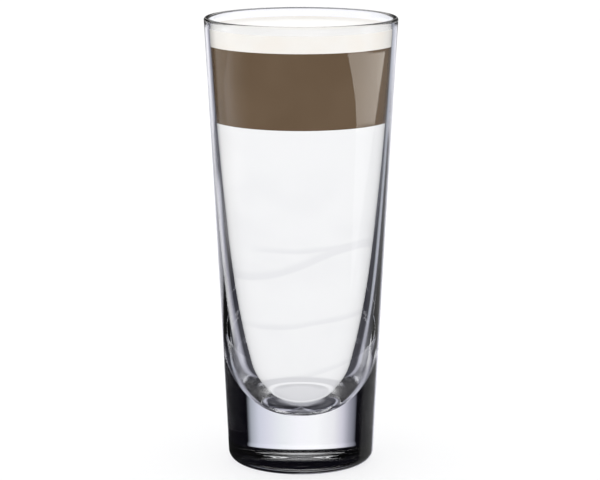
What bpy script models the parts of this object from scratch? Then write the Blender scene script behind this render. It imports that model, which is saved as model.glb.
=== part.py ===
"""Chocolate punch in a tall shooter glass: a heavy-footed glass filled with three level layers of drink.

Metres, +Z up. The origin is the centre of the glass's foot, on the surface that it stands on.
Every piece is turned about the Z axis from a profile of (radius, height) points.
"""

import math

import bmesh
import bpy

# Glass, outside
GLASS_HEIGHT = 0.105
FOOT_RADIUS = 0.0170
RIM_RADIUS = 0.02245
WALL_FLARE = 0.1
HEEL_RADIUS = 0.0026

# Shallow hollow under the foot, inside its flat bearing ring
HOLLOW_RADIUS = 0.0100
HOLLOW_DEPTH = 0.0005

# Cavity: a thin wall that thickens towards the foot, above a round bowl
# The bowl's flatness is the power of its curve: 2 is an ellipse, and more is flatter below
WALL = 0.0010
EXTRA_WALL = 0.0085
THICKENING_HEIGHT = 0.0258
CAVITY_FLOOR = 0.0125
BOWL_HEIGHT = 0.0130
BOWL_FLATNESS = 3.0

# Drink: the level between each two layers, and the brim-full surface
PALE_TOP = 0.0814
CHOCOLATE_TOP = 0.0989
SURFACE_LEVEL = 0.1023
MENISCUS_RISE = 0.0006
MENISCUS_WIDTH = 0.0009
GAP = 0.0003

# Fineness of the turned meshes
SIDES = 60
HOLLOW_STEPS = 3
HEEL_STEPS = 6
OUTSIDE_STEPS = 8
RIM_STEPS = 6
CAVITY_STEPS = 12
BOWL_STEPS = 10
BAND_STEPS = 4
SURFACE_STEPS = 6


def spread(start, end, steps):
    """Evenly spaced values from start to end, both included."""
    return [start + (end - start) * step / steps for step in range(steps + 1)]


def outer_radius(height):
    """The outer wall: a cone that flares slightly towards the rim."""
    share = height / GLASS_HEIGHT
    return FOOT_RADIUS + (RIM_RADIUS - FOOT_RADIUS) * share * (1 - WALL_FLARE + WALL_FLARE * share)


def inner_radius(height, clearance):
    """The cavity's wall, or the side of a solid that keeps this clearance inside it."""
    above = height - CAVITY_FLOOR - clearance
    wall = WALL + EXTRA_WALL * math.exp(-above / THICKENING_HEIGHT) + clearance
    below_bowl_top = 1 - min(1, max(0, above / BOWL_HEIGHT))
    roundness = (1 - below_bowl_top ** BOWL_FLATNESS) ** (1 / BOWL_FLATNESS)
    return (outer_radius(height) - wall) * roundness


def inner_profile(top, clearance):
    """Points up the cavity from the middle of its floor to the height top."""
    floor = CAVITY_FLOOR + clearance
    heights = [floor + BOWL_HEIGHT * (1 - math.cos(angle)) for angle in spread(0, math.pi / 2, BOWL_STEPS)]
    heights += spread(floor + BOWL_HEIGHT, top, CAVITY_STEPS)[1:]
    return [(inner_radius(height, clearance), height) for height in heights]


def arc(centre, radius, start, end, steps):
    """Points along an arc in the profile's plane, with angles in degrees from the outward direction."""
    angles = [math.radians(angle) for angle in spread(start, end, steps)]
    return [(centre[0] + radius * math.cos(angle), centre[1] + radius * math.sin(angle)) for angle in angles]


def glass_profile():
    """From the middle of the foot, up the outside, over the fire-polished rim and down the cavity."""
    hollow = [(HOLLOW_RADIUS * share, HOLLOW_DEPTH * (1 - share ** 2)) for share in spread(0, 1, HOLLOW_STEPS)]
    heel = arc((outer_radius(HEEL_RADIUS) - HEEL_RADIUS, HEEL_RADIUS), HEEL_RADIUS, -90, 0, HEEL_STEPS)
    rim_round = (outer_radius(GLASS_HEIGHT) - inner_radius(GLASS_HEIGHT, 0)) / 2
    rim_base = GLASS_HEIGHT - rim_round
    outside = [(outer_radius(height), height) for height in spread(HEEL_RADIUS, rim_base, OUTSIDE_STEPS)[1:-1]]
    rim = arc((outer_radius(rim_base) - rim_round, rim_base), rim_round, 0, 180, RIM_STEPS)
    cavity = inner_profile(rim_base, 0)
    return hollow + heel + outside + rim + cavity[-2::-1]


def pale_profile():
    """The deep lower layer, from the middle of its round bottom to its level top."""
    top = PALE_TOP - GAP / 2
    return inner_profile(top, GAP) + [(0, top)]


def chocolate_profile():
    """The middle layer, level below and above."""
    heights = spread(PALE_TOP + GAP / 2, CHOCOLATE_TOP - GAP / 2, BAND_STEPS)
    side = [(inner_radius(height, GAP), height) for height in heights]
    return [(0, heights[0])] + side + [(0, heights[-1])]


def cream_profile():
    """The top layer, whose surface climbs the glass a little at its edge."""
    bottom = CHOCOLATE_TOP + GAP / 2
    edge_radius = inner_radius(SURFACE_LEVEL + MENISCUS_RISE, GAP)
    points = [(0, bottom), (inner_radius(bottom, GAP), bottom)]
    for share in spread(0, 1, SURFACE_STEPS):
        inward = 5 * MENISCUS_WIDTH * share ** 2
        points.append((edge_radius - inward, SURFACE_LEVEL + MENISCUS_RISE * math.exp(-inward / MENISCUS_WIDTH)))
    return points + [(0, SURFACE_LEVEL)]


def material(name, colour, roughness, transmission=0.0):
    """A Principled material. The colour is linear red, green and blue."""
    made = bpy.data.materials.new(name)
    made.use_nodes = True
    shader = made.node_tree.nodes["Principled BSDF"]
    shader.inputs["Base Color"].default_value = (*colour, 1.0)
    shader.inputs["Roughness"].default_value = roughness
    shader.inputs["Metallic"].default_value = 0.0
    shader.inputs["Transmission Weight"].default_value = transmission
    return made


def turned(name, profile, finish):
    """A closed solid of revolution. The profile starts and ends on the Z axis, and runs up its outer side."""
    shape = bmesh.new()
    points = [shape.verts.new((radius, 0, height)) for radius, height in profile]
    edges = [shape.edges.new(pair) for pair in zip(points, points[1:])]
    bmesh.ops.spin(
        shape, geom=points + edges, cent=(0, 0, 0), axis=(0, 0, 1), angle=math.tau, steps=SIDES, use_merge=True
    )
    bmesh.ops.remove_doubles(shape, verts=shape.verts, dist=1e-7)
    bmesh.ops.recalc_face_normals(shape, faces=shape.faces)
    mesh = bpy.data.meshes.new(name)
    shape.to_mesh(mesh)
    shape.free()
    mesh.materials.append(finish)
    mesh.shade_smooth()
    mesh.set_sharp_from_angle(angle=math.radians(40))
    piece = bpy.data.objects.new(name, mesh)
    bpy.context.scene.collection.objects.link(piece)


def main():
    for old in list(bpy.data.objects):
        bpy.data.objects.remove(old)
    clear_glass = material("clear_soda_lime_glass", (0.93, 0.94, 0.96), 0.02, transmission=1.0)
    pale_milk = material("pale_milk", (0.88, 0.88, 0.89), 0.25)
    chocolate = material("chocolate_liqueur", (0.141, 0.095, 0.058), 0.15)
    cream = material("cream", (0.93, 0.91, 0.85), 0.3)
    turned("glass", glass_profile(), clear_glass)
    turned("pale_layer", pale_profile(), pale_milk)
    turned("chocolate_layer", chocolate_profile(), chocolate)
    turned("cream_layer", cream_profile(), cream)


main()
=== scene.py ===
"""Looks of a layered chocolate punch in a tall heavy-footed shooter glass.

Metres, +Z up, the glass's axis on Z and its foot on the floor. The camera looks along +Y.
The glass and each layer of drink are turned by one Geometry Nodes tree, each from its profile of
(radius, height) points.
"""

import math

import bpy
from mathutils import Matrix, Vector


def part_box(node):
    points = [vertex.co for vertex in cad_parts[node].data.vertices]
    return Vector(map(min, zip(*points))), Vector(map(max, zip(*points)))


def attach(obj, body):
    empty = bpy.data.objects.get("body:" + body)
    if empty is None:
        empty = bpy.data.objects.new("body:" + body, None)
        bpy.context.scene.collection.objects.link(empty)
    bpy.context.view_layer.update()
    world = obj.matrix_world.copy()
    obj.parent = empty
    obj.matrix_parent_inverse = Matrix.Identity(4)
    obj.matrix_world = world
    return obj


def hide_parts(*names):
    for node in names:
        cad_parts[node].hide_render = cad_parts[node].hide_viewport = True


MM = 0.001

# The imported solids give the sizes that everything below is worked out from
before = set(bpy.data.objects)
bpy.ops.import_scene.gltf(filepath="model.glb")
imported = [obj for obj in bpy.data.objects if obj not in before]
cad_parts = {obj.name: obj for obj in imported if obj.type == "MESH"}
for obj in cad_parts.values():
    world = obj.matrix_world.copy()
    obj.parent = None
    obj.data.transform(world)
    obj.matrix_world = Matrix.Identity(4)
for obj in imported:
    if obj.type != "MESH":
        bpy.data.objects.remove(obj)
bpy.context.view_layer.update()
glass_low, glass_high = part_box("glass")
pale_low, pale_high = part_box("pale_layer")
brown_low, brown_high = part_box("chocolate_layer")
cream_low, cream_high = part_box("cream_layer")

GLASS_HEIGHT = glass_high.z
PALE_TOP = (pale_high.z + brown_low.z) / 2
BROWN_TOP = (brown_high.z + cream_low.z) / 2
BRIM = cream_high.z

# Glass, outside, and the shallow hollow under its foot
FOOT_RADIUS = 17.0 * MM
RIM_RADIUS = 22.45 * MM
WALL_FLARE = 0.1
HEEL_RADIUS = 2.6 * MM
HOLLOW_RADIUS = 10.0 * MM
HOLLOW_DEPTH = 0.5 * MM

# Cavity: a thin wall that thickens towards the foot, above a round bowl
# The bowl's flatness is the power of its curve: 2 is an ellipse, and more is flatter below
WALL = 1.0 * MM
EXTRA_WALL = 8.5 * MM
THICKENING_HEIGHT = 25.8 * MM
CAVITY_FLOOR = 12.5 * MM
BOWL_HEIGHT = 13.0 * MM
BOWL_FLATNESS = 3.0

# Drink: how far it reaches into the wall, and the rise of its surface at the glass
WETTING = 0.15 * MM
MENISCUS_RISE = 0.6 * MM
MENISCUS_WIDTH = 0.9 * MM
MENISCUS_REACH = 8 * MENISCUS_WIDTH
SURFACE_LEVEL = BRIM - MENISCUS_RISE

# Fineness of the turned meshes
SIDES = 240
HOLLOW_STEPS = 12
HEEL_STEPS = 20
OUTSIDE_STEPS = 60
RIM_STEPS = 24
CAVITY_STEPS = 60
BOWL_STEPS = 40
BAND_STEPS = 16
SURFACE_STEPS = 20
FLOOR_SIDES = 96

# Glass finish: the length and depth of the faint waves that pressing leaves, and the tint of a shadow
GLASS_IOR = 1.5
WAVE_LENGTH = 9 * MM
WAVE_DEPTH = 0.02 * MM
SHADOW_TINT = "F4F4F6"
INNER_REFLECTIONS = 8

# Drink against glass: the mirror share of a head-on look, which is left out
# Each line of WETTER_BELOW is a height, a lower height, and what the contrast gains between the two
HEAD_ON_SHARE = 0.045
WETTER_BELOW = (
    (60.0 * MM, 24.0 * MM, 0.025),
    (20.5 * MM, 18.0 * MM, 0.022),
)

# The bowl's shoulder, whose mirror is slightly blurred, and the painted shade that greys the mirror in
# streaks in the very bottom
SHOULDER = (16.0 * MM, 17.5 * MM, 21.0 * MM, 23.0 * MM)
SHOULDER_ROUGHNESS = 0.15
SHADE_STREAK_SIZE = 3.5 * MM
SHADE_STREAK_FLATNESS = 4.0
SHADE_STREAKS_BELOW = (CAVITY_FLOOR + 4.2 * MM, CAVITY_FLOOR + 2.0 * MM)

# Milk: the size of its drifts, how far they bend a fold, and the size and flatness of its clouds
MILK_DRIFT = 14 * MM
FOLD_WANDER = 2.4 * MM
MILK_CLOUD = 22 * MM
CLOUD_FLATNESS = 2.2
CLOUD_STRENGTH = 0.35

# Painted shade in faint grey folds of the milk, seen from the front: level, swing, turn, reach, where round
# the glass they fade, and strength
# The swing's ripple goes three times round for its once
MILK_PAINTED_SHADE_FOLDS = (
    (49.4 * MM, 3.9 * MM, 0.0, 2.6 * MM, 1.3, 2.0, 1.0),
    (53.3 * MM, 0.4 * MM, 0.3, 1.6 * MM, 0.5, 1.1, 0.8),
    (35.8 * MM, 1.5 * MM, 0.3, 1.8 * MM, 0.7, 1.5, 0.8),
    (24.6 * MM, 2.4 * MM, 0.6, 1.8 * MM, 0.4, 1.1, 0.7),
    (44.0 * MM, 4.4 * MM, 3.3, 2.8 * MM, 0.9, 1.9, 0.9),
    (60.5 * MM, 2.0 * MM, 2.7, 2.0 * MM, 0.6, 1.5, 0.8),
    (30.0 * MM, 2.2 * MM, 3.9, 2.0 * MM, 0.7, 1.6, 0.8),
)
FOLD_RIPPLE = 0.3
FOLD_EDGE = (-0.3 * MM, 0.2 * MM, 0.4 * MM)

# The greyer bottom of the milk: the mean height of its edge, and how far the edge arches up and down
ARCH_LEVEL = 21.3 * MM
ARCH_RISE = 1.8 * MM
ARCH_EDGE = (0.5 * MM, -0.3 * MM)

# The oval ring in that bottom: its middle's height, half its height, and the sine of the angle it reaches to
RING_LEVEL = 19.3 * MM
RING_HALF_HEIGHT = 2.45 * MM
RING_REACH = 0.58

# The ring, its inside, and a shade in the upper part of that inside, as shares of the way from its middle
RING = (0.86, 0.96, 1.02, 1.12)
RING_INSIDE = (0.95, 0.88)
RING_SHADE = (0.55, 0.75, 0.84, 0.92)
SHADE_ABOVE = (0.1, 0.5)

# Chocolate and cream: the size of their drifts, and the upward tilt past which a face of cream is open
CHOCOLATE_DRIFT = 16 * MM
CREAM_DRIFT = 7 * MM
OPEN_TILT = 0.3

# Refraction of milk, which is a little more than water's
DRINK_IOR = 1.35

# Studio: the light on the drink and the floor, and the dark of the flags
# All the studio's places are degrees: round from straight behind the glass, or above the horizon
STUDIO_LIGHT = 1.25
FLOOR_RADIUS = 4.0
FLAG = "05040A"

# What shows through the glass, round about: windows ahead, behind and to each side, between dark flags
WINDOWS = (
    (-180, "FCFCFE"),
    (-158, "ECEBEF"),
    (-146, "BFBFCB"),
    (-143, FLAG),
    (-104, FLAG),
    (-101, "BFBFCB"),
    (-90, "FCFCFE"),
    (-79, "BFBFCB"),
    (-76, FLAG),
    (-36.5, FLAG),
    (-34.5, "6A6B76"),
    (-29, "9C9CA8"),
    (-24, "CECCD8"),
    (-18, "ECEBEF"),
    (-8, "FBFBFD"),
    (1, "F9F8FD"),
    (9.5, "EDEFF3"),
    (19, "DBDBE7"),
    (24.5, "CED0DD"),
    (31, "A4A8B2"),
    (35, FLAG),
    (76, FLAG),
    (79, "BFBFCB"),
    (90, "FCFCFE"),
    (101, "BFBFCB"),
    (104, FLAG),
    (143, FLAG),
    (146, "BFBFCB"),
    (158, "ECEBEF"),
    (180, "FCFCFE"),
)

# Blinds: the share by which they draw in the windows on the right low down, and on the left in a band
RIGHT_BLIND = 0.13
RIGHT_BLIND_BELOW = (-20.0, -28.0)
LEFT_BLIND = 0.2
LEFT_BLIND_BAND = (-17, -14.2, -13, -12.4)

# A dark post to the right of the middle, which leans aside higher up, and its foot further left
POST = "45464C"
POST_SIDES = (1.5, 4, 14, 23)
POST_LEAN = 4.0
POST_LEANS = (-24, -15)
POST_TOP = (-12.3, -13)
POST_FOOT_SIDES = (-8, -3, 4, 6)
POST_FOOT_TOP = (-25.5, -27)

# Haze, which keeps what is low down from being as black as the flags
HAZE = "3A3A42"
HAZE_BELOW = (-12.3, -13.5)

# The table, round about, and where it begins below the windows
TABLE = (
    (-105, "A8A8AE"),
    (-75, "505056"),
    (-39, "46464C"),
    (-33, "9A9AA6"),
    (-26, "C4C4D0"),
    (-16, "B4B4BE"),
    (-9, "84848A"),
    (0, "7A7A80"),
    (13, "74747A"),
    (21, "B8B8C4"),
    (27, "B8B8C4"),
    (32, "5A5A62"),
    (37, "46464C"),
    (75, "505056"),
    (105, "A8A8AE"),
)
TABLE_BELOW = (-28, -33)

# The dark room above, which comes lower down behind the camera
ROOM_ABOVE = (3, 7)
ROOM_LOWERED = 12.0
ROOM_LOWERED_FROM = (140.0, 146.0)

# How much brighter than their colours the windows are, low down and high up
WINDOW_GAIN = (1.075, 1.14)
WINDOW_GAIN_RISE = (-11.0, -8.0)

# The right panel, as the glass mirrors it: its near side leans, and its far side spreads upwards
PANEL_LEAN = -6.9
PANEL_AT_HORIZON = -10.5
PANEL_NEAR_SIDE = (-1, 2)
PANEL_FAR_SIDE = (107, 104.5)
PANEL_SPREADS_FROM = -13.4
PANEL_SPREAD = 21.4
PANEL_SPREAD_POWER = 2.2

# The panel's bright part: where its sloping lower edge and its bowed upper edge are
BRIGHT_SLOPE = 0.0426
BRIGHT_DEPTH = 8.93
BRIGHT_FROM = (-0.1, 0.1)
BRIGHT_TO = (1.37, 1.43)
BRIGHT_BOW = 0.000175
BRIGHT_MIDDLE = 88.0

# The panel's light in its lower, its bright and its upper part
LOWER_PANEL_LIGHT = 0.6
BRIGHT_PANEL_LIGHT = 3.5
UPPER_PANEL_LIGHT = 0.25

# The soft wide panel on the left
LEFT_PANEL_LIGHT = 0.74
LEFT_PANEL_SIDES = (-118, -80, -58, -49)
LEFT_PANEL_ABOVE = (-15.5, -13.5)

# The bright wall far behind. Its left end comes in higher up, and its left part ends sooner below
FAR_WALL_LIGHT = [1.05, 1.05, 1.15, 1.0]
FAR_WALL_LEFT = (-52, -42)
FAR_WALL_RIGHT = (31, 18)
FAR_WALL_COMES_IN = 16.0
FAR_WALL_COMES_IN_FROM = (-12.2, -10.8)
FAR_WALL_LEFT_ABOVE = (-13.9, -13.2)
FAR_WALL_RIGHT_FROM = (-8, 0)

# The dimmer wall beside it, the dark of the room low down and higher up, and the light from overhead
SIDE_WALL_LIGHT = 0.28
SIDE_WALL_SIDES = (18, 30, 66, 76)
LOW_ROOM_LIGHT = 0.03
HIGH_ROOM_LIGHT = 0.05
HIGH_ROOM_ABOVE = (-8, -6)
OVERHEAD_LIGHT = 1.1
OVERHEAD_ABOVE = (13, 24)

# Camera, from the photograph's perspective: its distance and height, and the glass's axis in the frame
CAMERA_DISTANCE = 614 * MM
CAMERA_HEIGHT = 170.3 * MM
CAMERA_PITCH = math.radians(10.85)
CAMERA_SIDE = -0.23 * MM
NEAREST_SEEN = 10 * MM
SENSOR_WIDTH = 36.0
FOCAL_SHARE = 2671 / 600


def linear(hex_code):
    """An sRGB colour such as "695744" as linear red, green, blue and alpha."""
    channels = [int(hex_code[place:place + 2], 16) / 255 for place in (0, 2, 4)]
    return [c / 12.92 if c <= 0.04045 else ((c + 0.055) / 1.055) ** 2.4 for c in channels] + [1.0]


def add(tree, kind, settings=None, inputs=None):
    """Adds a node with its properties and its inputs.

    An input is given a plain value, the output that feeds it, or a node, whose first output then feeds it.
    """
    node = tree.nodes.new(kind)
    for name, value in (settings or {}).items():
        setattr(node, name, value)
    for name, value in (inputs or {}).items():
        if isinstance(value, bpy.types.Node):
            value = next(output for output in value.outputs if output.enabled)
        if isinstance(value, bpy.types.NodeSocket):
            tree.links.new(value, node.inputs[name])
        else:
            node.inputs[name].default_value = value
    return node


def spread(start, end, steps):
    """Evenly spaced values from start to end, both included."""
    return [start + (end - start) * step / steps for step in range(steps + 1)]


def outer_radius(height):
    """The outer wall: a cone that flares slightly towards the rim."""
    share = height / GLASS_HEIGHT
    return FOOT_RADIUS + (RIM_RADIUS - FOOT_RADIUS) * share * (1 - WALL_FLARE + WALL_FLARE * share)


def inner_radius(height, reach):
    """The cavity's wall, or the side of what fills it and reaches this far into the glass."""
    above = height - CAVITY_FLOOR + reach
    wall = WALL + EXTRA_WALL * math.exp(-above / THICKENING_HEIGHT) - reach
    below_bowl_top = 1 - min(1, max(0, above / BOWL_HEIGHT))
    roundness = (1 - below_bowl_top ** BOWL_FLATNESS) ** (1 / BOWL_FLATNESS)
    return (outer_radius(height) - wall) * roundness


def inner_profile(top, reach):
    """Points up the cavity from the middle of its floor to the height top."""
    floor = CAVITY_FLOOR - reach
    heights = [floor + BOWL_HEIGHT * (1 - math.cos(angle)) for angle in spread(0, math.pi / 2, BOWL_STEPS)]
    heights += spread(floor + BOWL_HEIGHT, top, CAVITY_STEPS)[1:]
    return [(inner_radius(height, reach), height) for height in heights]


def arc(centre, radius, start, end, steps):
    """Points along an arc in the profile's plane, with angles in degrees from the outward direction."""
    angles = [math.radians(angle) for angle in spread(start, end, steps)]
    return [(centre[0] + radius * math.cos(angle), centre[1] + radius * math.sin(angle)) for angle in angles]


def glass_profile():
    """From the middle of the foot, up the outside, over the fire-polished rim and down the cavity."""
    shares = spread(0, 1, HOLLOW_STEPS)
    hollow = [(HOLLOW_RADIUS * share, HOLLOW_DEPTH * (1 - share ** 2)) for share in shares]
    heel = arc((outer_radius(HEEL_RADIUS) - HEEL_RADIUS, HEEL_RADIUS), HEEL_RADIUS, -90, 0, HEEL_STEPS)
    rim_round = (outer_radius(GLASS_HEIGHT) - inner_radius(GLASS_HEIGHT, 0)) / 2
    rim_base = GLASS_HEIGHT - rim_round
    heights = spread(HEEL_RADIUS, rim_base, OUTSIDE_STEPS)[1:-1]
    outside = [(outer_radius(height), height) for height in heights]
    rim = arc((outer_radius(rim_base) - rim_round, rim_base), rim_round, 0, 180, RIM_STEPS)
    cavity = inner_profile(rim_base, 0)
    return hollow + heel + outside + rim + cavity[-2::-1]


def pale_profile():
    """The deep lower layer, from the middle of its round bottom to its level top."""
    return inner_profile(PALE_TOP, WETTING) + [(0, PALE_TOP)]


def brown_profile():
    """The middle layer, level below and above."""
    heights = spread(PALE_TOP, BROWN_TOP, BAND_STEPS)
    side = [(inner_radius(height, WETTING), height) for height in heights]
    return [(0, PALE_TOP)] + side + [(0, BROWN_TOP)]


def cream_profile():
    """The top layer, whose surface climbs the glass a little at its edge."""
    edge_height = SURFACE_LEVEL + MENISCUS_RISE
    heights = spread(BROWN_TOP, edge_height, BAND_STEPS)
    points = [(0, BROWN_TOP)] + [(inner_radius(height, WETTING), height) for height in heights]
    edge_radius = inner_radius(edge_height, 0)
    for share in spread(0, 1, SURFACE_STEPS):
        inward = MENISCUS_REACH * share ** 2
        climb = MENISCUS_RISE * math.exp(-inward / MENISCUS_WIDTH)
        points.append((edge_radius - inward, SURFACE_LEVEL + climb))
    return points + [(0, SURFACE_LEVEL)]


def turning_tree():
    """A Geometry Nodes tree that turns a profile in the XZ plane about Z, one column of points a side."""
    tree = bpy.data.node_groups.new("turned_piece", "GeometryNodeTree")
    tree.interface.new_socket("Profile", in_out="INPUT", socket_type="NodeSocketGeometry")
    tree.interface.new_socket("Sides", in_out="INPUT", socket_type="NodeSocketInt")
    tree.interface.new_socket("Finish", in_out="INPUT", socket_type="NodeSocketMaterial")
    tree.interface.new_socket("Piece", in_out="OUTPUT", socket_type="NodeSocketGeometry")
    given = add(tree, "NodeGroupInput").outputs
    sizes = add(tree, "GeometryNodeAttributeDomainSize", None, {"Geometry": given["Profile"]})
    count = sizes.outputs["Point Count"]
    columns = add(tree, "ShaderNodeMath", {"operation": "ADD"}, {0: given["Sides"], 1: 1.0})
    sheet = add(tree, "GeometryNodeMeshGrid", None, {"Vertices X": columns, "Vertices Y": count})
    index = add(tree, "GeometryNodeInputIndex")
    along = add(tree, "FunctionNodeIntegerMath", {"operation": "MODULO"}, {0: index, 1: count})
    column = add(tree, "FunctionNodeIntegerMath", {"operation": "DIVIDE"}, {0: index, 1: count})
    point = add(
        tree,
        "GeometryNodeSampleIndex",
        {"data_type": "FLOAT_VECTOR", "domain": "POINT"},
        {"Geometry": given["Profile"], "Value": add(tree, "GeometryNodeInputPosition"), "Index": along},
    )
    share = add(tree, "ShaderNodeMath", {"operation": "DIVIDE"}, {0: column, 1: given["Sides"]})
    angle = add(tree, "ShaderNodeMath", {"operation": "MULTIPLY"}, {0: share, 1: math.tau})
    turned = add(
        tree, "ShaderNodeVectorRotate", {"rotation_type": "Z_AXIS"}, {"Vector": point, "Angle": angle}
    )
    placed = add(tree, "GeometryNodeSetPosition", None, {"Geometry": sheet, "Position": turned})
    closed = add(tree, "GeometryNodeMergeByDistance", None, {"Geometry": placed, "Distance": 0.001 * MM})
    smooth = add(tree, "GeometryNodeSetShadeSmooth", None, {"Geometry": closed})
    whole = add(tree, "GeometryNodeRealizeInstances", None, {"Geometry": smooth})
    finished = add(tree, "GeometryNodeSetMaterial", None, {"Geometry": whole, "Material": given["Finish"]})
    add(tree, "NodeGroupOutput", None, {"Piece": finished})
    return tree


def turned_piece(name, profile, finish, tree, sharp_degrees=None):
    """The closed piece that the tree turns from a profile, as a plain mesh."""
    line = bpy.data.meshes.new(name + "_profile")
    edges = [(place, place + 1) for place in range(len(profile) - 1)]
    line.from_pydata([(radius, 0, height) for radius, height in profile], edges, [])
    guide = bpy.data.objects.new(name + "_profile", line)
    bpy.context.scene.collection.objects.link(guide)
    turning = guide.modifiers.new("turning", "NODES")
    turning.node_group = tree
    sockets = {item.name: item.identifier for item in tree.interface.items_tree if item.in_out == "INPUT"}
    turning[sockets["Sides"]] = SIDES
    turning[sockets["Finish"]] = finish
    graph = bpy.context.evaluated_depsgraph_get()
    mesh = bpy.data.meshes.new_from_object(guide.evaluated_get(graph))
    guide.modifiers.remove(turning)
    bpy.data.objects.remove(guide)
    mesh.name = name
    if sharp_degrees:
        mesh.set_sharp_from_angle(angle=math.radians(sharp_degrees))
    piece = bpy.data.objects.new(name, mesh)
    bpy.context.scene.collection.objects.link(piece)
    return piece


def fade(tree, value, edges, share=1.0):
    """A share that is kept where the value is within the edges, and falls softly to 0 past them.

    Two edges are where it is 0 and where it is whole. With four, it is whole from the second to the third.
    """
    for nothing, whole in zip(edges[::3], edges[1:3]):
        side = add(
            tree,
            "ShaderNodeMapRange",
            {"interpolation_type": "SMOOTHSTEP"},
            {
                "Value": value,
                "From Min": min(nothing, whole),
                "From Max": max(nothing, whole),
                "To Min": float(nothing > whole),
                "To Max": float(nothing < whole),
            },
        )
        share = add(tree, "ShaderNodeMath", {"operation": "MULTIPLY"}, {0: side, 1: share})
    return share


def laid_over(tree, colour, *layers):
    """A colour with others laid over it in turn, each given as its share and its colour."""
    for share, over in layers:
        colour = add(tree, "ShaderNodeMix", {"data_type": "RGBA"}, {0: share, 6: colour, 7: over})
    return colour


def new_material(name):
    """An empty node material, with its tree and its output node."""
    made = bpy.data.materials.new(name)
    made.use_nodes = True
    made.node_tree.nodes.clear()
    return made, made.node_tree, add(made.node_tree, "ShaderNodeOutputMaterial")


def clear_glass():
    """Soda-lime glass, pressed and fire-polished: clear and glossy, with a faint waviness.

    The waviness bends what shows through. Soft light reaches the drink straight through the glass, as the
    many bounces inside a clear wall lose nothing.
    """
    made, tree, output = new_material("fire_polished_soda_lime_glass")
    place = add(tree, "ShaderNodeTexCoord").outputs["Object"]
    waves = add(tree, "ShaderNodeTexNoise", None, {"Vector": place, "Scale": 1 / WAVE_LENGTH, "Detail": 1.0})
    bump = add(tree, "ShaderNodeBump", None, {"Height": waves, "Strength": 0.3, "Distance": WAVE_DEPTH})
    shader = add(
        tree,
        "ShaderNodeBsdfPrincipled",
        None,
        {
            "Base Color": linear("FBFCFD"),
            "Roughness": 0.0,
            "IOR": GLASS_IOR,
            "Transmission Weight": 1.0,
            "Normal": bump,
        },
    )
    path = add(tree, "ShaderNodeLightPath").outputs
    passing = add(tree, "ShaderNodeBsdfTransparent", None, {"Color": linear(SHADOW_TINT)})
    for kind in ("Is Shadow Ray", "Is Diffuse Ray"):
        shader = add(tree, "ShaderNodeMixShader", None, {0: path[kind], 1: shader, 2: passing})
    tree.links.new(shader.outputs[0], output.inputs["Surface"])
    return made


def behind_glass(tree, colour):
    """Drink of this colour, soft by itself, under the mirror that the clear wall's inside lays over it.

    The mirror's share grows to the whole at a glancing look. Milk wets the round bottom more closely than the
    side, so it turns to a mirror only at a steeper angle there. At its very bottom the mirror is greyed in
    streaks of painted shade.
    """
    drink = add(
        tree,
        "ShaderNodeBsdfPrincipled",
        None,
        {"Base Color": colour, "Roughness": 0.4, "IOR": DRINK_IOR, "Specular IOR Level": 0.0},
    )
    place = add(tree, "ShaderNodeTexCoord").outputs["Object"]
    height = add(tree, "ShaderNodeSeparateXYZ", None, {"Vector": place}).outputs["Z"]
    contrast = 1 / GLASS_IOR
    for higher, lower, gain in WETTER_BELOW:
        wetted = add(
            tree,
            "ShaderNodeMapRange",
            None,
            {"Value": height, "From Min": higher, "From Max": lower, "To Max": gain},
        )
        contrast = add(tree, "ShaderNodeMath", {"operation": "ADD"}, {0: wetted, 1: contrast})
    mirrored = add(tree, "ShaderNodeFresnel", None, {"IOR": contrast})
    share = add(tree, "ShaderNodeMapRange", None, {"Value": mirrored, "From Min": HEAD_ON_SHARE})
    # Painted shade: grey streaks laid over the mirror's colour in the very bottom of the bowl
    flat = add(
        tree, "ShaderNodeVectorMath", {"operation": "MULTIPLY"}, {0: place, 1: (1.0, 1.0, SHADE_STREAK_FLATNESS)}
    )
    shade_streaks = add(tree, "ShaderNodeTexNoise", None, {"Vector": flat, "Scale": 1 / SHADE_STREAK_SIZE, "Detail": 2.0})
    painted_shade_streaks = fade(tree, shade_streaks, (0.35, 0.6), fade(tree, height, SHADE_STREAKS_BELOW))
    mirror = add(
        tree,
        "ShaderNodeBsdfGlossy",
        None,
        {
            "Color": laid_over(tree, linear("FFFFFF"), (painted_shade_streaks, linear("77777C"))),
            "Roughness": fade(tree, height, SHOULDER, SHOULDER_ROUGHNESS),
        },
    )
    return add(tree, "ShaderNodeMixShader", None, {0: share, 1: drink, 2: mirror})


def painted_shade_fold(tree, angle, height, level, swing, turn, reach, start, end):
    """One fold's share of painted shade: a crisp lower edge that swings up and down round the glass, fading
    up.
    """
    turned = add(tree, "ShaderNodeMath", {"operation": "SUBTRACT"}, {0: angle, 1: turn})
    thrice = add(tree, "ShaderNodeMath", {"operation": "MULTIPLY"}, {0: turned, 1: 3.0})
    ripple = add(tree, "ShaderNodeMath", {"operation": "SINE"}, {0: thrice})
    sway = add(tree, "ShaderNodeMath", {"operation": "SINE"}, {0: turned})
    wave = add(tree, "ShaderNodeMath", {"operation": "MULTIPLY_ADD"}, {0: ripple, 1: FOLD_RIPPLE, 2: sway})
    edge = add(tree, "ShaderNodeMath", {"operation": "MULTIPLY_ADD"}, {0: wave, 1: swing, 2: level})
    above = add(tree, "ShaderNodeMath", {"operation": "SUBTRACT"}, {0: height, 1: edge})
    facing = add(tree, "ShaderNodeMath", {"operation": "COSINE"}, {0: turned})
    line = fade(tree, above, (*FOLD_EDGE, reach))
    return fade(tree, facing, (math.cos(end), math.cos(start)), line)


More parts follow.
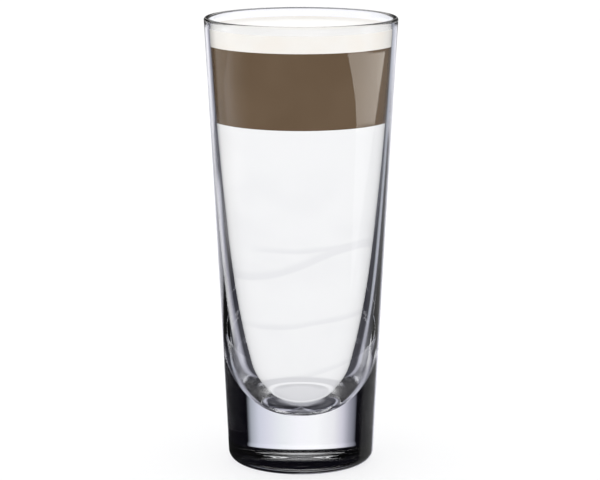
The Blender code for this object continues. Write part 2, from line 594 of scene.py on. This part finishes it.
def pale_milk():
    """Milk, poured and at rest: an opaque cool white, with faint grey folds of painted shade.

    It greys a little in its round bottom, where the deep glass lets less light reach it. The glass throws an
    oval ring of light onto that bottom.
    """
    made, tree, output = new_material("poured_pale_milk")
    place = add(tree, "ShaderNodeTexCoord").outputs["Object"]
    parts = add(tree, "ShaderNodeSeparateXYZ", None, {"Vector": place}).outputs
    drift = add(tree, "ShaderNodeTexNoise", None, {"Vector": place, "Scale": 1 / MILK_DRIFT, "Detail": 1.5})
    lowered = add(tree, "ShaderNodeMath", {"operation": "SUBTRACT"}, {0: parts["Z"], 1: FOLD_WANDER / 2})
    height = add(
        tree, "ShaderNodeMath", {"operation": "MULTIPLY_ADD"}, {0: drift, 1: FOLD_WANDER, 2: lowered}
    )
    nearness = add(tree, "ShaderNodeMath", {"operation": "MULTIPLY"}, {0: parts["Y"], 1: -1.0})
    angle = add(tree, "ShaderNodeMath", {"operation": "ARCTAN2"}, {0: parts["X"], 1: nearness})
    # Painted shade: faint grey folds, with random grey clouds added to them
    grey = 0.0
    for level, swing, turn, reach, start, end, strength in MILK_PAINTED_SHADE_FOLDS:
        fold = painted_shade_fold(tree, angle, height, level, swing, turn, reach, start, end)
        grey = add(tree, "ShaderNodeMath", {"operation": "MULTIPLY_ADD"}, {0: fold, 1: strength, 2: grey})
    flat = add(
        tree, "ShaderNodeVectorMath", {"operation": "MULTIPLY"}, {0: place, 1: (1.0, 1.0, CLOUD_FLATNESS)}
    )
    clouds = add(tree, "ShaderNodeTexNoise", None, {"Vector": flat, "Scale": 1 / MILK_CLOUD, "Detail": 2.0})
    clouded = fade(tree, clouds, (0.45, 0.7), CLOUD_STRENGTH)
    grey = add(tree, "ShaderNodeMath", {"operation": "ADD"}, {0: grey, 1: clouded})

    # The arched edge of the greyer bottom
    doubled = add(tree, "ShaderNodeMath", {"operation": "MULTIPLY"}, {0: angle, 1: 2.0})
    arch = add(tree, "ShaderNodeMath", {"operation": "COSINE"}, {0: doubled})
    edge = add(tree, "ShaderNodeMath", {"operation": "MULTIPLY_ADD"}, {0: arch, 1: ARCH_RISE, 2: ARCH_LEVEL})
    above_arch = add(tree, "ShaderNodeMath", {"operation": "SUBTRACT"}, {0: parts["Z"], 1: edge})

    # How far out each place is from the middle of the oval ring, where the ring itself is at 1
    sideways = add(tree, "ShaderNodeMath", {"operation": "SINE"}, {0: angle})
    across = add(tree, "ShaderNodeMath", {"operation": "DIVIDE"}, {0: sideways, 1: RING_REACH})
    up = add(tree, "ShaderNodeMath", {"operation": "SUBTRACT"}, {0: parts["Z"], 1: RING_LEVEL})
    raised = add(tree, "ShaderNodeMath", {"operation": "DIVIDE"}, {0: up, 1: RING_HALF_HEIGHT})
    across_squared = add(tree, "ShaderNodeMath", {"operation": "MULTIPLY"}, {0: across, 1: across})
    raised_squared = add(tree, "ShaderNodeMath", {"operation": "MULTIPLY"}, {0: raised, 1: raised})
    both = add(tree, "ShaderNodeMath", {"operation": "ADD"}, {0: across_squared, 1: raised_squared})
    from_middle = add(tree, "ShaderNodeMath", {"operation": "SQRT"}, {0: both})

    bottom = laid_over(
        tree,
        linear("DEDEDF"),
        (fade(tree, from_middle, RING_INSIDE), linear("E4E4E5")),
        (fade(tree, raised, SHADE_ABOVE, fade(tree, from_middle, RING_SHADE)), linear("D8D8D9")),
        (fade(tree, from_middle, RING), linear("FAFAFA")),
    )
    colour = laid_over(
        tree,
        linear("F7F7F6"),
        (grey, linear("EEEEEE")),
        (fade(tree, above_arch, ARCH_EDGE), bottom),
    )
    tree.links.new(behind_glass(tree, colour).outputs[0], output.inputs["Surface"])
    return made


def brown_chocolate():
    """Chocolate milk, stirred smooth: an opaque, slightly grey brown with hardly visible lighter drifts."""
    made, tree, output = new_material("stirred_chocolate_milk")
    place = add(tree, "ShaderNodeTexCoord").outputs["Object"]
    drift = add(
        tree, "ShaderNodeTexNoise", None, {"Vector": place, "Scale": 1 / CHOCOLATE_DRIFT, "Detail": 2.0}
    )
    lighter = fade(tree, drift, (0.35, 0.7))
    colour = laid_over(tree, linear("685643"), (lighter, linear("6D5B48")))
    tree.links.new(behind_glass(tree, colour).outputs[0], output.inputs["Surface"])
    return made


def top_cream():
    """Pouring cream, floated on top: a thick warm white, with a painted sheen on its open surface.

    At a low look a plain white diffuse, mixed in by a Fresnel share, pales the open surface to white: a
    painted reflection of the white studio all round. The cream is painted in two shades: its open face
    duller, against the full light and painted sheen it takes, and its side paler, against the light it loses
    through the glass.
    """
    made, tree, output = new_material("floated_cream")
    place = add(tree, "ShaderNodeTexCoord").outputs["Object"]
    drift = add(tree, "ShaderNodeTexNoise", None, {"Vector": place, "Scale": 1 / CREAM_DRIFT, "Detail": 2.0})
    richer = fade(tree, drift, (0.4, 0.7))
    # Painted shade: the open face's cream is a duller copy of the side's, against the stronger light it takes
    open_cream = add(
        tree,
        "ShaderNodeBsdfPrincipled",
        None,
        {
            "Base Color": laid_over(tree, linear("E4E1DC"), (richer, linear("E1DDD6"))),
            "Roughness": 0.3,
            "IOR": DRINK_IOR,
            "Specular IOR Level": 0.25,
        },
    )
    # Painted reflection: a plain white diffuse stands in for the mirror of the studio at a glancing look
    painted_white_sheen = add(tree, "ShaderNodeBsdfDiffuse", None, {"Color": linear("FFFFFF")})
    glancing = add(tree, "ShaderNodeFresnel", None, {"IOR": DRINK_IOR})
    open_face_with_painted_sheen = add(tree, "ShaderNodeMixShader", None, {0: glancing, 1: open_cream, 2: painted_white_sheen})
    # The side's cream is painted paler, to make up for the light it loses through the glass
    side_painted_paler = behind_glass(tree, laid_over(tree, linear("F9F6EF"), (richer, linear("F8F3EA"))))
    normal = add(tree, "ShaderNodeNewGeometry").outputs["Normal"]
    upward = add(tree, "ShaderNodeSeparateXYZ", None, {"Vector": normal}).outputs["Z"]
    open_face = add(tree, "ShaderNodeMath", {"operation": "GREATER_THAN"}, {0: upward, 1: OPEN_TILT})
    both = add(tree, "ShaderNodeMixShader", None, {0: open_face, 1: side_painted_paler, 2: open_face_with_painted_sheen})
    tree.links.new(both.outputs[0], output.inputs["Surface"])
    return made


def white_floor():
    """Painted board, rolled matt: a plain white with no sheen to speak of."""
    made, tree, output = new_material("matt_white_painted_board")
    shader = add(tree, "ShaderNodeBsdfPrincipled", None, {"Base Color": linear("F0F0F0"), "Roughness": 0.6})
    tree.links.new(shader.outputs[0], output.inputs["Surface"])
    return made


def build_floor():
    """A wide disc, which the camera and soft light see, and the glass doesn't mirror or bend."""
    bpy.ops.mesh.primitive_circle_add(vertices=FLOOR_SIDES, radius=FLOOR_RADIUS, fill_type="NGON")
    floor = bpy.context.object
    floor.name = "floor"
    floor.data.materials.append(white_floor())
    floor.visible_glossy = False
    floor.visible_transmission = False


def colours_round_about(tree, azimuth, stops):
    """A colour for each way round the object, blended between stops of (degrees from -180 to 180, colour)."""
    place = add(tree, "ShaderNodeMapRange", None, {"Value": azimuth, "From Min": -180.0, "From Max": 180.0})
    colours = add(tree, "ShaderNodeValToRGB", None, {"Fac": place})
    elements = colours.color_ramp.elements
    placed = [((degrees + 180) / 360, linear(colour)) for degrees, colour in stops]
    elements[0].position, elements[0].color = placed[0]
    elements[1].position, elements[1].color = placed[-1]
    for share, colour in placed[1:-1]:
        elements.new(share).color = colour
    return colours


def bent_light(tree, azimuth, rise):
    """What shows through the glass: bright windows between dark flags, a grey table and a dark room above.

    Blinds narrow the windows in places, and a dark post stands in the window ahead. Low down there is a haze.
    """
    low = add(
        tree,
        "ShaderNodeMapRange",
        None,
        {"Value": rise, "From Min": RIGHT_BLIND_BELOW[0], "From Max": RIGHT_BLIND_BELOW[1]},
    )
    narrowed = add(tree, "ShaderNodeMath", {"operation": "MULTIPLY_ADD"}, {0: low, 1: RIGHT_BLIND, 2: 1.0})
    right = add(tree, "ShaderNodeMath", {"operation": "MAXIMUM"}, {0: azimuth, 1: 0.0})
    right = add(tree, "ShaderNodeMath", {"operation": "MULTIPLY"}, {0: right, 1: narrowed})
    banded = fade(tree, rise, LEFT_BLIND_BAND)
    narrowed = add(tree, "ShaderNodeMath", {"operation": "MULTIPLY_ADD"}, {0: banded, 1: LEFT_BLIND, 2: 1.0})
    left = add(tree, "ShaderNodeMath", {"operation": "MINIMUM"}, {0: azimuth, 1: 0.0})
    left = add(tree, "ShaderNodeMath", {"operation": "MULTIPLY"}, {0: left, 1: narrowed})
    shaped = add(tree, "ShaderNodeMath", {"operation": "ADD"}, {0: right, 1: left})

    leaning = fade(tree, rise, POST_LEANS)
    upright = add(
        tree, "ShaderNodeMath", {"operation": "MULTIPLY_ADD"}, {0: leaning, 1: -POST_LEAN, 2: azimuth}
    )
    post = fade(tree, rise, POST_TOP, fade(tree, upright, POST_SIDES))
    foot = fade(tree, rise, POST_FOOT_TOP, fade(tree, azimuth, POST_FOOT_SIDES))
    either = add(tree, "ShaderNodeMath", {"operation": "MAXIMUM"}, {0: post, 1: foot})
    windows = laid_over(tree, colours_round_about(tree, shaped, WINDOWS), (either, linear(POST)))
    haze = add(
        tree,
        "ShaderNodeVectorMath",
        {"operation": "SCALE"},
        {0: linear(HAZE)[:3], "Scale": fade(tree, rise, HAZE_BELOW)},
    )
    hazy = add(tree, "ShaderNodeVectorMath", {"operation": "MAXIMUM"}, {0: windows, 1: haze})

    aside = add(tree, "ShaderNodeMath", {"operation": "ABSOLUTE"}, {0: azimuth})
    lowering = add(
        tree,
        "ShaderNodeMapRange",
        None,
        {
            "Value": aside,
            "From Min": ROOM_LOWERED_FROM[0],
            "From Max": ROOM_LOWERED_FROM[1],
            "To Max": ROOM_LOWERED,
        },
    )
    risen = add(tree, "ShaderNodeMath", {"operation": "ADD"}, {0: rise, 1: lowering})
    whole = laid_over(
        tree,
        hazy,
        (fade(tree, rise, TABLE_BELOW), colours_round_about(tree, azimuth, TABLE)),
        (fade(tree, risen, ROOM_ABOVE), linear(FLAG)),
    )
    gain = add(
        tree,
        "ShaderNodeMapRange",
        None,
        {
            "Value": rise,
            "From Min": WINDOW_GAIN_RISE[0],
            "From Max": WINDOW_GAIN_RISE[1],
            "To Min": WINDOW_GAIN[0],
            "To Max": WINDOW_GAIN[1],
        },
    )
    return add(tree, "ShaderNodeVectorMath", {"operation": "SCALE"}, {0: whole, "Scale": gain})


def mirrored_light(tree, azimuth, rise):
    """What the glass mirrors: a tall wedge-shaped panel, a soft wide one, and a bright and a dim wall."""
    near_side = add(
        tree,
        "ShaderNodeMath",
        {"operation": "MULTIPLY_ADD"},
        {0: rise, 1: PANEL_LEAN, 2: PANEL_AT_HORIZON},
    )
    past_start = add(tree, "ShaderNodeMath", {"operation": "SUBTRACT"}, {0: azimuth, 1: near_side})
    climb = add(tree, "ShaderNodeMath", {"operation": "SUBTRACT"}, {0: rise, 1: PANEL_SPREADS_FROM})
    climb = add(tree, "ShaderNodeMath", {"operation": "MAXIMUM"}, {0: climb, 1: 0.0})
    powered = add(tree, "ShaderNodeMath", {"operation": "POWER"}, {0: climb, 1: PANEL_SPREAD_POWER})
    spreading = add(tree, "ShaderNodeMath", {"operation": "MULTIPLY"}, {0: powered, 1: PANEL_SPREAD})
    before_end = add(tree, "ShaderNodeMath", {"operation": "SUBTRACT"}, {0: azimuth, 1: spreading})
    right_panel = fade(tree, past_start, PANEL_NEAR_SIDE, fade(tree, before_end, PANEL_FAR_SIDE))

    # The panel's lower edge of brightness slopes, and its upper one is bowed
    slope = add(
        tree, "ShaderNodeMath", {"operation": "MULTIPLY_ADD"}, {0: azimuth, 1: BRIGHT_SLOPE, 2: BRIGHT_DEPTH}
    )
    above = add(tree, "ShaderNodeMath", {"operation": "ADD"}, {0: slope, 1: rise})
    from_middle = add(tree, "ShaderNodeMath", {"operation": "SUBTRACT"}, {0: azimuth, 1: BRIGHT_MIDDLE})
    squared = add(tree, "ShaderNodeMath", {"operation": "MULTIPLY"}, {0: from_middle, 1: from_middle})
    bow = add(tree, "ShaderNodeMath", {"operation": "MULTIPLY"}, {0: squared, 1: BRIGHT_BOW})
    above_bow = add(tree, "ShaderNodeMath", {"operation": "SUBTRACT"}, {0: above, 1: bow})
    panel = laid_over(
        tree,
        grey_light(LOWER_PANEL_LIGHT),
        (fade(tree, above, BRIGHT_FROM), warm_light(BRIGHT_PANEL_LIGHT)),
        (fade(tree, above_bow, BRIGHT_TO), grey_light(UPPER_PANEL_LIGHT)),
    )

    coming_in = fade(tree, rise, FAR_WALL_COMES_IN_FROM)
    from_left = add(
        tree,
        "ShaderNodeMath",
        {"operation": "MULTIPLY_ADD"},
        {0: coming_in, 1: -FAR_WALL_COMES_IN, 2: azimuth},
    )
    ends = add(
        tree,
        "ShaderNodeMath",
        {"operation": "MAXIMUM"},
        {0: fade(tree, rise, FAR_WALL_LEFT_ABOVE), 1: fade(tree, azimuth, FAR_WALL_RIGHT_FROM)},
    )
    far_wall = fade(tree, azimuth, FAR_WALL_RIGHT, fade(tree, from_left, FAR_WALL_LEFT, ends))
    left_panel = fade(tree, rise, LEFT_PANEL_ABOVE, fade(tree, azimuth, LEFT_PANEL_SIDES))
    return laid_over(
        tree,
        grey_light(LOW_ROOM_LIGHT),
        (fade(tree, azimuth, SIDE_WALL_SIDES), grey_light(SIDE_WALL_LIGHT)),
        (far_wall, FAR_WALL_LIGHT),
        (left_panel, warm_light(LEFT_PANEL_LIGHT)),
        (right_panel, panel),
        (fade(tree, rise, HIGH_ROOM_ABOVE), grey_light(HIGH_ROOM_LIGHT)),
        (fade(tree, rise, OVERHEAD_ABOVE), grey_light(OVERHEAD_LIGHT)),
    )


def grey_light(strength):
    """Light without a colour, in linear red, green, blue and alpha."""
    return [strength, strength, strength, 1.0]


def warm_light(strength):
    """The light of the two panels, whose cloth is slightly yellowed."""
    return [strength, 0.955 * strength, 0.88 * strength, 1.0]


def build_world():
    """A white studio. What the glass bends, what it mirrors and what lights the drink are each set apart."""
    world = bpy.data.worlds.new("studio")
    bpy.context.scene.world = world
    world.use_nodes = True
    tree = world.node_tree
    tree.nodes.clear()
    way = add(tree, "ShaderNodeTexCoord").outputs["Generated"]
    parts = add(tree, "ShaderNodeSeparateXYZ", None, {"Vector": way}).outputs
    turn = add(tree, "ShaderNodeMath", {"operation": "ARCTAN2"}, {0: parts["X"], 1: parts["Y"]})
    azimuth = add(tree, "ShaderNodeMath", {"operation": "DEGREES"}, {0: turn})
    tilt = add(tree, "ShaderNodeMath", {"operation": "ARCSINE"}, {0: parts["Z"]})
    rise = add(tree, "ShaderNodeMath", {"operation": "DEGREES"}, {0: tilt})

    # Light that has already met a drink or the floor comes from the plain studio
    path = add(tree, "ShaderNodeLightPath").outputs
    direct = add(tree, "ShaderNodeMath", {"operation": "LESS_THAN"}, {0: path["Diffuse Depth"], 1: 0.5})
    bent, mirrored = [
        add(tree, "ShaderNodeMath", {"operation": "MULTIPLY"}, {0: path[kind], 1: direct})
        for kind in ("Is Transmission Ray", "Is Reflection Ray")
    ]
    colour = laid_over(
        tree,
        grey_light(STUDIO_LIGHT),
        (bent, bent_light(tree, azimuth, rise)),
        (mirrored, mirrored_light(tree, azimuth, rise)),
        (path["Is Camera Ray"], grey_light(1.0)),
    )
    background = add(tree, "ShaderNodeBackground", None, {"Color": colour})
    add(tree, "ShaderNodeOutputWorld", None, {"Surface": background})


def let_light_wander():
    """Enough inner reflections for the thick foot, whose corners are black without them."""
    paths = bpy.context.scene.cycles
    paths.glossy_bounces = INNER_REFLECTIONS
    paths.transmission_bounces = INNER_REFLECTIONS
    paths.max_bounces = 2 * INNER_REFLECTIONS


def build_camera():
    """A long lens a little above the rim, at the photograph's angle."""
    lens = bpy.data.cameras.new("camera")
    lens.sensor_fit = "HORIZONTAL"
    lens.sensor_width = SENSOR_WIDTH
    lens.lens = FOCAL_SHARE * SENSOR_WIDTH
    lens.clip_start = NEAREST_SEEN
    camera = bpy.data.objects.new("camera", lens)
    camera.location = (CAMERA_SIDE, -CAMERA_DISTANCE, CAMERA_HEIGHT)
    camera.rotation_euler = (math.pi / 2 - CAMERA_PITCH, 0, 0)
    bpy.context.scene.collection.objects.link(camera)
    bpy.context.scene.camera = camera


def build_drink():
    """The glass and its three layers, each in place of its plain solid."""
    tree = turning_tree()
    pieces = (
        ("tall_glass", glass_profile(), clear_glass(), None, "glass", "clear_glass"),
        ("pale_milk_layer", pale_profile(), pale_milk(), 40, "pale_layer", "pale_milk"),
        ("chocolate_band", brown_profile(), brown_chocolate(), 40, "chocolate_layer", "chocolate"),
        ("cream_top", cream_profile(), top_cream(), 50, "cream_layer", "cream"),
    )
    for name, profile, finish, sharp_degrees, node, slot in pieces:
        piece = turned_piece(name, profile, finish, tree, sharp_degrees)
        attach(piece, "root")
        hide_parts(node)


bpy.context.scene.view_settings.view_transform = "Standard"
let_light_wander()
build_camera()
build_floor()
build_world()
build_drink()
